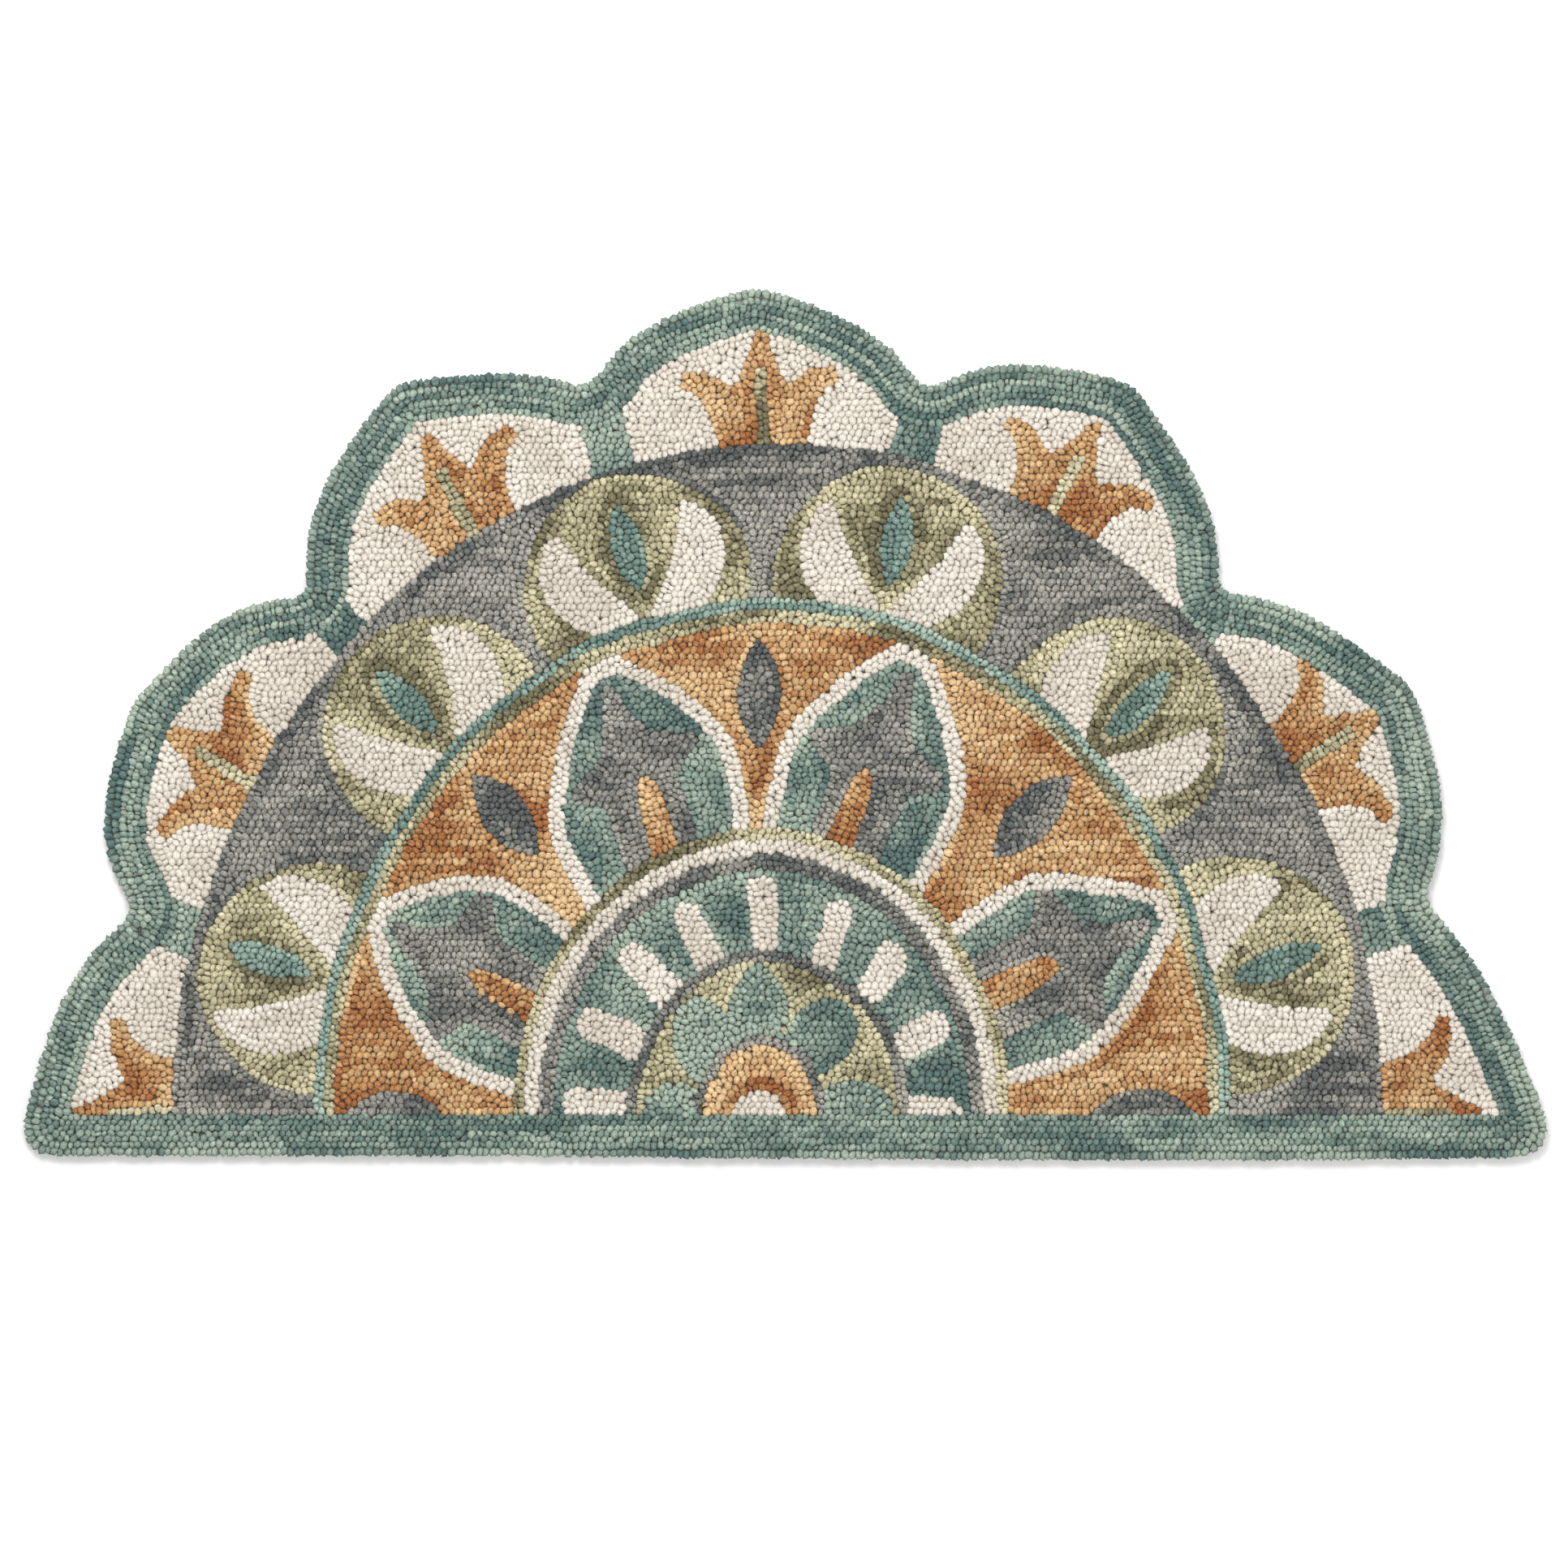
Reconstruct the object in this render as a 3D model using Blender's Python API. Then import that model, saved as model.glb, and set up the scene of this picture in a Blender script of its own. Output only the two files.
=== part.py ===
"""Hooked rug, half-round with a scalloped edge, lying flat.

One solid: the wool loops and the ground cloth that they are hooked through, as one slab
with the rug's own outline and a rounded upper edge. Metres, +Z up. X runs along the
straight edge and Y across the rug, from the straight edge to the top scallop. The origin
is under the middle of the outline's box, on the surface that the rug lies on.
"""

import bmesh
import bpy
from mathutils import Vector

# Driving dimensions
LOOP_HEIGHT = 0.008        # loops, from the ground cloth to their tops
CLOTH_THICKNESS = 0.002    # ground cloth with the yarn that runs along its underside
THICKNESS = CLOTH_THICKNESS + LOOP_HEIGHT
EDGE_ROUND = 0.0045        # how far the outer loops lean over at the upper edge
EDGE_ROUND_STEPS = 2
OUTLINE_STEP = 0.009       # spacing of the outline's points
SOFTENING_PASSES = 2       # rounds the tips and valleys to about 12 mm
WELD_DISTANCE = 0.00001

# The outline, anticlockwise from the right end of the straight edge. x and y are measured
# from the middle of that edge. bow is how far the edge bows outwards on its way from the
# point before. Each scallop runs from one valley over its tip to the next, fullest near the
# valleys, and a hand-made rug's scallops all differ a little.
VALLEY_LEAN = 0.45
OUTLINE = (
    # point, kind, x, y, bow
    ("straight edge, right", "edge", 0.1600, -0.0022, 0.0000),
    ("right corner, below", "edge", 0.4930, 0.0000, 0.0010),
    ("right corner, side", "edge", 0.5105, 0.0180, 0.0060),
    ("first valley", "valley", 0.4245, 0.1735, 0.0105),
    ("lower right tip", "tip", 0.4210, 0.3155, 0.0150),
    ("second valley", "valley", 0.2880, 0.3800, 0.0135),
    ("upper right tip", "tip", 0.2310, 0.5240, 0.0165),
    ("third valley", "valley", 0.0930, 0.5150, 0.0160),
    ("top tip", "tip", -0.0190, 0.5885, 0.0145),
    ("fourth valley", "valley", -0.1310, 0.5180, 0.0150),
    ("upper left tip", "tip", -0.2620, 0.5230, 0.0085),
    ("fifth valley", "valley", -0.3175, 0.3765, 0.0185),
    ("lower left tip", "tip", -0.4370, 0.3070, 0.0175),
    ("sixth valley", "valley", -0.4320, 0.1650, 0.0205),
    ("left corner, side", "edge", -0.5100, 0.0190, 0.0165),
    ("left corner, below", "edge", -0.4920, 0.0008, 0.0065),
    ("straight edge, left", "edge", -0.2000, 0.0010, 0.0000),
)

RUG_COLLECTION = "hooked_rug"
WOOL_COLOR = (0.205, 0.235, 0.195, 1.0)
WOOL_ROUGHNESS = 0.92


def clear_scene():
    """Remove every object that the scene holds."""
    for obj in list(bpy.data.objects):
        bpy.data.objects.remove(obj, do_unlink=True)


def bowed_run(start, end, bow, lean):
    """Points from start up to end, end left out, on a curve that bows to the right.

    lean moves the fullest part of the bow towards start, or towards end below zero.
    """
    along = end - start
    outward = Vector((along.y, -along.x)).normalized()
    steps = max(1, round(along.length / OUTLINE_STEP))
    points = []
    for i in range(steps):
        t = i / steps
        rise = 4.0 * t * (1.0 - t) * (1.0 + lean * (1.0 - 2.0 * t))
        points.append(start + along * t + outward * (bow * rise))
    return points


def softened(points, passes):
    """The closed outline with its corners rounded by averaging neighbouring points."""
    for _ in range(passes):
        count = len(points)
        points = [
            points[i - 1] * 0.25 + points[i] * 0.5 + points[(i + 1) % count] * 0.25
            for i in range(count)
        ]
    return points


def rug_outline():
    """The closed outline, anticlockwise, centred on the middle of its own box."""
    points = []
    for i, (_, kind, x, y, bow) in enumerate(OUTLINE):
        _, kind_before, x_before, y_before, _ = OUTLINE[i - 1]
        lean = VALLEY_LEAN * ((kind_before == "valley") - (kind == "valley"))
        points += bowed_run(Vector((x_before, y_before)), Vector((x, y)), bow, lean)
    points = softened(points, SOFTENING_PASSES)
    low = Vector((min(p.x for p in points), min(p.y for p in points)))
    high = Vector((max(p.x for p in points), max(p.y for p in points)))
    middle = (low + high) / 2.0
    return [p - middle for p in points]


def flat_curve(name, points, thickness):
    """A filled 2D curve through the points, extruded to the thickness."""
    curve = bpy.data.curves.new(name, "CURVE")
    curve.dimensions = "2D"
    curve.fill_mode = "BOTH"
    curve.extrude = thickness / 2.0
    spline = curve.splines.new("POLY")
    spline.points.add(len(points) - 1)
    for spline_point, point in zip(spline.points, points):
        spline_point.co = (point.x, point.y, 0.0, 1.0)
    spline.use_cyclic_u = True
    return bpy.data.objects.new(name, curve)


def mesh_from_curve(curve_object, name):
    """The curve's evaluated mesh as a new object in its place, and the curve removed."""
    bpy.context.view_layer.update()
    depsgraph = bpy.context.evaluated_depsgraph_get()
    mesh = bpy.data.meshes.new_from_object(curve_object.evaluated_get(depsgraph))
    mesh.name = name
    result = bpy.data.objects.new(name, mesh)
    result.matrix_world = curve_object.matrix_world.copy()
    bpy.data.objects.remove(curve_object, do_unlink=True)
    return result


def round_upper_edge(mesh):
    """Weld the caps, make each cap one face, and round the edge of the upper one."""
    bm = bmesh.new()
    bm.from_mesh(mesh)
    bmesh.ops.remove_doubles(bm, verts=bm.verts, dist=WELD_DISTANCE)
    for side in (-1.0, 1.0):
        cap = [face for face in bm.faces if face.normal.z * side > 0.5]
        bmesh.ops.dissolve_faces(bm, faces=cap)
    top = max(bm.faces, key=lambda face: face.normal.z)
    bmesh.ops.bevel(
        bm,
        geom=list(top.edges),
        offset=EDGE_ROUND,
        offset_type="OFFSET",
        segments=EDGE_ROUND_STEPS,
        profile=0.5,
        affect="EDGES",
        clamp_overlap=False,
    )
    bm.to_mesh(mesh)
    bm.free()


def wool_material():
    """Matt wool in the average of the rug's colours."""
    material = bpy.data.materials.new("wool_pile")
    material.use_nodes = True
    shader = material.node_tree.nodes["Principled BSDF"]
    shader.inputs["Base Color"].default_value = WOOL_COLOR
    shader.inputs["Roughness"].default_value = WOOL_ROUGHNESS
    shader.inputs["Metallic"].default_value = 0.0
    return material


def build_rug(collection):
    """The rug as one slab whose underside lies on z = 0."""
    curve_object = flat_curve("rug_outline", rug_outline(), THICKNESS)
    curve_object.location.z = THICKNESS / 2.0
    collection.objects.link(curve_object)
    rug = mesh_from_curve(curve_object, "rug")
    round_upper_edge(rug.data)
    rug.data.materials.append(wool_material())
    rug.data.shade_smooth()
    rug.data.set_sharp_from_angle(angle=0.9)
    collection.objects.link(rug)
    return rug


def main():
    clear_scene()
    collection = bpy.data.collections.new(RUG_COLLECTION)
    bpy.context.scene.collection.children.link(collection)
    build_rug(collection)


main()
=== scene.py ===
import math

import bpy
import numpy as np
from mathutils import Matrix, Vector
from mathutils.kdtree import KDTree


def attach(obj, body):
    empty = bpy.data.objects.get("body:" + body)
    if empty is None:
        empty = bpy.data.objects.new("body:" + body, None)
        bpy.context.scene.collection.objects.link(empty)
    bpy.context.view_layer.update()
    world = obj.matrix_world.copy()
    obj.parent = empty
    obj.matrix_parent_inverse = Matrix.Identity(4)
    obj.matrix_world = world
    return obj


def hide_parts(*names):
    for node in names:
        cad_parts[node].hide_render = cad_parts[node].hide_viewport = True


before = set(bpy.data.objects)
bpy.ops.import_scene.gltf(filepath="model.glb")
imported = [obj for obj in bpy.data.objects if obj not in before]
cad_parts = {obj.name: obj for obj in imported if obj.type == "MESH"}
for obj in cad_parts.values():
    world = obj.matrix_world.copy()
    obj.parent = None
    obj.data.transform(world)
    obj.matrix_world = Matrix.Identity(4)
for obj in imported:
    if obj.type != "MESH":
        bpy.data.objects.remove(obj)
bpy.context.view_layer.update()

RUG_NODE = "rug"

# Sizes, in metres
PITCH = 0.0042             # spacing of the hooked rows
LOOP_STEP = 0.0045         # spacing of the loops in a row
CELL = 0.00075             # cell of the grid that the pattern is drawn on
BORDER_WIDTH = 0.0266      # width of the border round the scallops
BORDER_PITCH = BORDER_WIDTH / 6
BASE_STRIP = 0.0310        # depth of the border along the straight edge
STRIP_ROWS = 7
EDGE_OVERHANG = 0.0006     # how far an outer loop may spread past the rug's edge
PETAL_LINE = 0.0107        # width of the cream line round a lotus petal
PILE_INSET = 0.0014        # the outer row's far side, in from the rug's edge
PILE_TOP = 0.0100          # the loops' tops, above the floor
LOOP_DEPTH = 0.0023        # how deep a loop shows, from its top to where loops meet
LOOP_REACH = 0.0032        # how far a loop spreads where no other loop stops it
FINE_SIZE = 0.90           # size of the loops in the thin lines, beside the others'
SEED = 41

# Yarns, as the pattern grid holds them
OUTSIDE, CREAM, OCHRE, GRAY, TEAL, OLIVE, AQUA = range(-1, 6)

# The half-mandala's rings, each a half-ellipse on the base line. shift is how far a ring
# stands off the middle of the straight edge. A ring named a line is a thin one, of small
# loops, round the ring before it.
RINGS = (
    # name, half_width, rise, shift
    ("ochre", 0.0385, 0.0455, -0.0170),
    ("ochre line", 0.0448, 0.0525, -0.0165),
    ("round petals", 0.0860, 0.1025, -0.0120),
    ("petals line", 0.0935, 0.1105, -0.0115),
    ("dashes", 0.1390, 0.1637, -0.0155),
    ("gray line", 0.1495, 0.1746, -0.0157),
    ("cream line", 0.1593, 0.1840, -0.0160),
    ("olive line", 0.1668, 0.1930, -0.0160),
    ("lotus petals", 0.2923, 0.3306, -0.0090),
    ("outer olive line", 0.2998, 0.3400, -0.0088),
    ("aqua line", 0.3070, 0.3480, -0.0088),
    ("ground", 0.4043, 0.4531, -0.0044),
)
HALF_WIDTH = {name: half_width for name, half_width, _, _ in RINGS}
GROUND_EDGE = HALF_WIDTH["ground"]

# Cream half-disc in the middle: its half width and rise
EYE = (0.0190, 0.0165)

ROUND_PETALS = (
    # middle angle in degrees, half width, the ring's half width at the tip, and how sharp
    # the tip is: blunt under 0.5, pointed at 1
    (0.0, 0.0190, 0.0840, 0.50),
    (49.0, 0.0200, 0.0820, 0.42),
    (93.0, 0.0210, 0.0850, 0.95),
    (134.0, 0.0210, 0.0840, 0.42),
    (180.0, 0.0200, 0.0820, 0.50),
)

DASHES = (
    # angle in degrees, the ring's half width at the tip, half width at foot and tip
    (0.5, 0.1330, 0.0085, 0.0090),
    (23.4, 0.1345, 0.0090, 0.0110),
    (46.0, 0.1325, 0.0082, 0.0120),
    (66.5, 0.1340, 0.0078, 0.0100),
    (91.0, 0.1365, 0.0085, 0.0105),
    (114.5, 0.1330, 0.0100, 0.0082),
    (134.2, 0.1330, 0.0120, 0.0085),
    (156.0, 0.1345, 0.0100, 0.0096),
    (177.5, 0.1330, 0.0090, 0.0095),
)

LOTUS_PETALS = (
    # middle angle in degrees, half width, how far aside the ochre bar stands and the
    # point leans
    (24.0, 0.0585, 0.000, -0.003),
    (70.2, 0.0650, -0.004, -0.004),
    (113.7, 0.0675, 0.004, 0.003),
    (157.8, 0.0600, 0.000, 0.011),
)

ROUNDELS = (
    # angle in degrees, distance out, radius, turn of the figure inside in degrees, and how
    # far the disc stands nearer the middle than the figure
    (15.0, 0.3260, 0.0800, 5.0, 0.0060),
    (45.2, 0.3240, 0.0770, 1.0, 0.0030),
    (76.5, 0.3310, 0.0770, 5.0, 0.0035),
    (106.2, 0.3315, 0.0765, 2.0, 0.0035),
    (134.6, 0.3270, 0.0765, 5.0, 0.0060),
    (165.0, 0.3270, 0.0780, -4.0, 0.0110),
)

TULIPS = (
    # angle in degrees, size across, size outwards
    (0.0, 1.00, 0.97),
    (31.0, 0.98, 0.93),
    (63.0, 0.95, 0.94),
    (91.6, 0.90, 1.00),
    (120.2, 0.94, 1.02),
    (150.6, 1.00, 0.95),
    (180.0, 1.00, 0.97),
)

# The ochre bar at the foot of a lotus petal: its half width and length
BAR_HALF, BAR_LENGTH = 0.0092, 0.0480
# Where a lotus petal is widest, as a share of its length, how far its half width's curve
# reaches towards the foot and the point, and how sharp the point is
LOTUS_WIDEST, LOTUS_FOOT_REACH, LOTUS_TIP_REACH, LOTUS_POINT = 0.40, 0.90, 0.68, 1.6
# The same for a round petal
ROUND_WIDEST, ROUND_FOOT_REACH, ROUND_TIP_REACH = 0.45, 0.68, 0.55

# Leaf shapes: foot, tip, how far each side bows, and how full a bow is. The gray almonds
# between the lotus petals run between two rings, the others lie in a roundel.
GRAY_ALMOND = ((0.0, 0.213), (0.0, 0.285), 0.0150, 0.0150, 1.0)
DARK_LEAF = ((0.0, -0.018), (0.001, 0.064), 0.0215, 0.0215, 1.0)
AQUA_LEAF = ((0.0, -0.008), (0.001, 0.053), 0.0105, 0.0105, 0.75)
CRESCENT = ((0.0, -0.029), (0.045, 0.046), -0.003, 0.038, 0.5)
ALMOND_ANGLES = (0.0, 45.0, 91.5, 134.8, 180.0)

# A tulip's olive stem: its half width and length, and the eye's ring as a share of the eye
STEM_HALF, STEM_LENGTH = 0.0044, 0.046
EYE_RING = 1.45

# How much deeper or paler some places are dyed, as a share of the yarn's range of shades
DARKER_OLIVE, DARKER_GRAY, DARKER_OCHRE = -0.38, -0.30, -0.48
DARKER_LINE, DARKER_RIM = -0.12, -0.25
GROUND_RIM = 0.011         # width of the gray ground's darker rim
PALER_OCHRE, PALER_PETAL = 0.15, 0.08

# Where the border runs in to the ground between two scallops, in degrees
NECK_ANGLES = (15.6, 46.3, 77.2, 106.0, 135.0, 164.4)
NECK_HALF_WIDTH = 0.0145

# The right half of a tulip, across and outwards from its foot on the ground's edge
TULIP_HALF = (
    (0.030, -0.006), (0.037, 0.019), (0.046, 0.033), (0.059, 0.039), (0.057, 0.048),
    (0.038, 0.046), (0.019, 0.034), (0.009, 0.053), (0.004, 0.068),
)
# The right half of the gray leaf in a lotus petal, across and outwards from its foot
LEAF_HALF = (
    (0.026, 0.000), (0.027, 0.041), (0.046, 0.056), (0.046, 0.064), (0.020, 0.071),
    (0.010, 0.088), (0.004, 0.110),
)


# The rug's outline, from the frame

def rug_outline(mesh):
    """The corners of the solid's underside in order, as an array of x and y."""
    coords = np.array([v.co[:] for v in mesh.vertices])
    keys = [tuple(np.round(c, 6)) for c in coords]
    lowest = coords[:, 2].min()
    mesh.calc_loop_triangles()
    edges = set()
    for triangle in mesh.loop_triangles:
        corners = [keys[v] for v in triangle.vertices]
        if max(c[2] for c in corners) > lowest + 1e-5:
            continue
        for start, end in zip(corners, corners[1:] + corners[:1]):
            if (end, start) in edges:
                edges.remove((end, start))
            else:
                edges.add((start, end))
    follows = dict(edges)
    here = first = min(follows)
    outline = []
    while not outline or here != first:
        outline.append(here[:2])
        here = follows[here]
    return np.array(outline)


# The pattern's grid

def distance_from(seeds, reach):
    """How far each cell is from the nearest seed cell, in metres, up to reach."""
    steps = int(reach / CELL) + 1
    far = np.float32((steps + 1) ** 2)
    squared = np.where(seeds, np.float32(0.0), far).astype(np.float32)
    for _ in range(2):  # along one side of the grid, then along the other
        best = squared.copy()
        for step in range(1, steps + 1):
            np.minimum(best[step:], squared[:-step] + step * step, out=best[step:])
            np.minimum(best[:-step], squared[step:] + step * step, out=best[:-step])
        squared = best.T
    return np.sqrt(squared) * CELL


def in_polygon(across, upwards, corners):
    """True where a place lies in the polygon through the corners."""
    inside = np.zeros(across.shape, bool)
    for i, (a0, u0) in enumerate(corners):
        a1, u1 = corners[i - 1]
        if u0 != u1:
            at = a0 + (upwards - u0) * (a1 - a0) / (u1 - u0)
            inside ^= ((u0 > upwards) != (u1 > upwards)) & (across < at)
    return inside


# The pattern's motifs

RING_HALF = np.array([half_width for _, half_width, _, _ in RINGS])
RING_TALL = np.array([rise / half_width for _, half_width, rise, _ in RINGS])
RING_SHIFT = np.array([shift for _, _, _, shift in RINGS])


def ring_place(r, degrees, base_y):
    """The place at half width r and an angle on the half-mandala's rings."""
    angle = math.radians(degrees)
    x = np.interp(r, RING_HALF, RING_SHIFT) + r * math.cos(angle)
    y = base_y + np.interp(r, RING_HALF, RING_TALL) * r * math.sin(angle)
    return np.array([x, y])


def ring_coords(x, y, base_y):
    """The half width r of the ring through each point, and its angle in degrees."""
    up = y - base_y
    r = np.hypot(x, up / RING_TALL.mean())
    for _ in range(4):
        across = x - np.interp(r, RING_HALF, RING_SHIFT)
        outwards = up / np.interp(r, RING_HALF, RING_TALL)
        r = np.hypot(across, outwards)
    return r, np.degrees(np.arctan2(outwards, across))


def motif_frame(x, y, r, degrees, base_y, turn=0.0):
    """Each point's place across and outwards from a motif's own origin on a ring."""
    origin = ring_place(r, degrees, base_y)
    ahead = ring_place(r + 0.001, degrees, base_y) - origin
    heading = math.atan2(ahead[1], ahead[0]) + math.radians(turn)
    out_x, out_y = math.cos(heading), math.sin(heading)
    dx, dy = x - origin[0], y - origin[1]
    return dx * out_y - dy * out_x, dx * out_x + dy * out_y


def in_mirrored(across, outwards, half):
    """True in the polygon that the right half's corners and their mirror images make."""
    return in_polygon(across, outwards, half + tuple((-a, o) for a, o in reversed(half)))


def in_leaf(across, outwards, start, end, bow_left, bow_right, fullness):
    """True between two arcs from start to end, bowed by so much to the left and right.

    A fullness under 1 makes an outward bow blunt at its ends, like half an ellipse.
    """
    span = np.subtract(end, start)
    length = math.hypot(*span)
    ax, ay = span / length
    da, do = across - start[0], outwards - start[1]
    t = (da * ax + do * ay) / length
    aside = do * ax - da * ay
    rise = 4.0 * np.clip(t * (1.0 - t), 0.0, None)
    left = bow_left * rise ** (fullness if bow_left > 0 else 1.0)
    right = bow_right * rise ** (fullness if bow_right > 0 else 1.0)
    return (t > 0) & (t < 1) & (aside < left) & (aside > -right)


def hand_wobble(x, y):
    """Small drifts, under 1.5 mm, that a hand-drawn pattern has."""
    dx = 0.0009 * np.sin(x / 0.021 + 1.9 * np.sin(y / 0.043)) + 0.0006 * np.sin(y / 0.013 + 2.0)
    dy = 0.0009 * np.sin(y / 0.024 + 1.7 * np.sin(x / 0.037) + 1.0) + 0.0006 * np.sin(x / 0.015)
    return x + dx, y + dy


def paint_scallops(yarn, r, t):
    """Cream scallops, each with an ochre tulip on an olive stem, standing on the ground."""
    for degrees, wide, tall in TULIPS:
        across = -r * np.radians(t - degrees) / wide
        outwards = (r - GROUND_EDGE) / tall
        yarn[in_mirrored(across, outwards, TULIP_HALF)] = OCHRE
        stem = (abs(across) < STEM_HALF) & (outwards > -0.01) & (outwards < STEM_LENGTH)
        yarn[stem] = OLIVE


def paint_border(yarn, r, t, edge):
    """The teal border along the edge, and its necks between the scallops."""
    border = edge < BORDER_WIDTH
    for degrees in NECK_ANGLES:
        aside = r * np.radians(t - degrees)
        border |= (abs(aside) < NECK_HALF_WIDTH) & (r > GROUND_EDGE)
    yarn[border] = TEAL
    return border


def paint_ground(yarn, shade, x, y, r, base_y):
    """The gray ground with its row of olive roundels."""
    yarn[r < GROUND_EDGE] = GRAY
    shade[(r > GROUND_EDGE - GROUND_RIM) & (r < GROUND_EDGE)] = DARKER_RIM
    for degrees, out, radius, turn, sink in ROUNDELS:
        across, outwards = motif_frame(x, y, out, degrees, base_y, turn)
        disc = across**2 + (outwards + sink) ** 2 < radius**2
        disc &= r < GROUND_EDGE
        yarn[disc] = OLIVE
        shade[disc] = 0.0
        shade[disc & in_leaf(across, outwards, *DARK_LEAF)] = DARKER_OLIVE
        for side in (-1, 1):
            yarn[disc & in_leaf(side * across, outwards, *CRESCENT)] = CREAM
        yarn[disc & in_leaf(across, outwards, *AQUA_LEAF)] = AQUA


def paint_lotus(yarn, shade, r, t):
    """The ochre ring with four lotus petals and five gray almonds."""
    foot, tip = HALF_WIDTH["olive line"], HALF_WIDTH["lotus petals"]
    yarn[r < HALF_WIDTH["aqua line"]] = AQUA
    yarn[r < HALF_WIDTH["outer olive line"]] = OLIVE
    yarn[r < tip] = OCHRE
    for degrees in ALMOND_ANGLES:
        almond = in_leaf(r * np.radians(t - degrees), r, *GRAY_ALMOND)
        yarn[almond] = GRAY
        shade[almond] = DARKER_GRAY
    for degrees, half_width, bar_aside, lean in LOTUS_PETALS:
        up = r - foot
        f = up / (tip - foot)
        across = -r * np.radians(t - degrees) - lean * np.clip(f, 0.0, 1.0) ** 2
        low = f < LOTUS_WIDEST
        swell = (f - LOTUS_WIDEST) / np.where(low, LOTUS_FOOT_REACH, LOTUS_TIP_REACH)
        foot_side = np.sqrt(np.clip(1.0 - swell**2, 0.0, 1.0))
        tip_side = np.clip(1.0 - abs(swell) ** LOTUS_POINT, 0.0, 1.0)
        half = half_width * np.where(low, foot_side, tip_side)
        petal = (abs(across) < half) & (f < 1.0) & (f > -0.3)
        depth = distance_from(~petal, 1.2 * PETAL_LINE)
        petal &= f > 0.0
        yarn[petal] = CREAM
        inner = petal & (depth > PETAL_LINE)
        yarn[inner] = TEAL
        yarn[inner & in_mirrored(across, up, LEAF_HALF)] = GRAY
        aside = across - bar_aside
        bar = abs(aside) < BAR_HALF * np.sqrt(np.clip(1.0 - (up / BAR_LENGTH) ** 4, 0.0, 1.0))
        yarn[inner & bar] = OCHRE


def paint_middle(yarn, shade, x, y, r, t, base_y):
    """The lines, dashes and round petals inside the lotus ring, and the eye."""
    for ring, colour in (
        ("olive line", OLIVE), ("cream line", CREAM), ("gray line", GRAY), ("dashes", TEAL),
    ):
        yarn[r < HALF_WIDTH[ring]] = colour
    shade[(r > HALF_WIDTH["dashes"]) & (r < HALF_WIDTH["gray line"])] = DARKER_LINE
    foot = HALF_WIDTH["petals line"]
    for degrees, tip, half_foot, half_tip in DASHES:
        across = r * np.radians(t - degrees)
        share = np.clip((r - foot) / (tip - foot), 0.0, 1.0)
        half = half_foot + (half_tip - half_foot) * share
        rounding = np.clip((r - tip + half_tip) / half_tip, 0.0, 1.0)
        yarn[abs(across) < half * np.sqrt(1.0 - rounding**3)] = CREAM
    yarn[r < foot] = GRAY
    yarn[r < HALF_WIDTH["round petals"]] = OLIVE
    foot = HALF_WIDTH["ochre line"]
    for degrees, half_width, tip, sharpness in ROUND_PETALS:
        across = r * np.radians(t - degrees)
        f = (r - foot) / (tip - foot)
        low = f < ROUND_WIDEST
        swell = (f - ROUND_WIDEST) / np.where(low, ROUND_FOOT_REACH, ROUND_TIP_REACH)
        power = np.where(low, 0.5, sharpness)
        half = half_width * np.clip(1.0 - swell**2, 0.0, 1.0) ** power
        petal = (abs(across) < half) & (f < 1.0)
        yarn[petal] = TEAL
        shade[petal] = PALER_PETAL
    yarn[r < foot] = GRAY
    ochre = r < HALF_WIDTH["ochre"]
    yarn[ochre] = OCHRE
    shade[ochre] = PALER_OCHRE
    eye = np.hypot((x - RING_SHIFT[0]) / EYE[0], (y - base_y) / EYE[1])
    shade[eye < EYE_RING] = DARKER_OCHRE
    yarn[eye < 1.0] = CREAM


def draw_pattern(outline):
    """The pattern's grid: its x and y, each cell's yarn, and the fields the rows follow."""
    low, high = outline.min(axis=0), outline.max(axis=0)
    xs = np.arange(low[0] - 4 * CELL, high[0] + 4 * CELL, CELL)
    ys = np.arange(low[1] - 4 * CELL, high[1] + 4 * CELL, CELL)
    grid_x, grid_y = np.meshgrid(xs, ys)
    inside = in_polygon(grid_x, grid_y, outline)
    edge = distance_from(~inside, 1.3 * BORDER_WIDTH) - PILE_INSET
    x, y = hand_wobble(grid_x, grid_y)
    base_y = low[1] + BASE_STRIP
    r, t = ring_coords(x, y, base_y)
    yarn = np.full(x.shape, CREAM, np.int8)
    shade = np.zeros(x.shape)
    paint_scallops(yarn, r, t)
    border = paint_border(yarn, r, t, edge)
    paint_ground(yarn, shade, x, y, r, base_y)
    paint_lotus(yarn, shade, r, t)
    paint_middle(yarn, shade, x, y, r, t, base_y)
    strip = grid_y < base_y
    shade[strip] = 0.0
    lowest = np.where(inside.any(axis=0), ys[np.argmax(inside, axis=0)], low[1])
    strip_depth = np.tile(base_y - lowest - PILE_INSET, (len(ys), 1))
    yarn[strip] = TEAL
    yarn[edge < 0.0] = OUTSIDE
    border = (border & (r > GROUND_EDGE)) | strip
    fine = strip.copy()
    for (_, inner, _, _), (name, outer, _, _) in zip(RINGS, RINGS[1:]):
        if name.endswith("line"):
            fine |= (r > inner) & (r < outer) & ~strip
    return {
        "xs": xs, "ys": ys, "base_y": base_y,
        "yarn": yarn, "shade": shade, "edge": edge, "border": border, "fine": fine,
        "strip_depth": np.clip(strip_depth, 0.5 * BASE_STRIP, BASE_STRIP),
    }


# Where the loops stand

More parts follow.
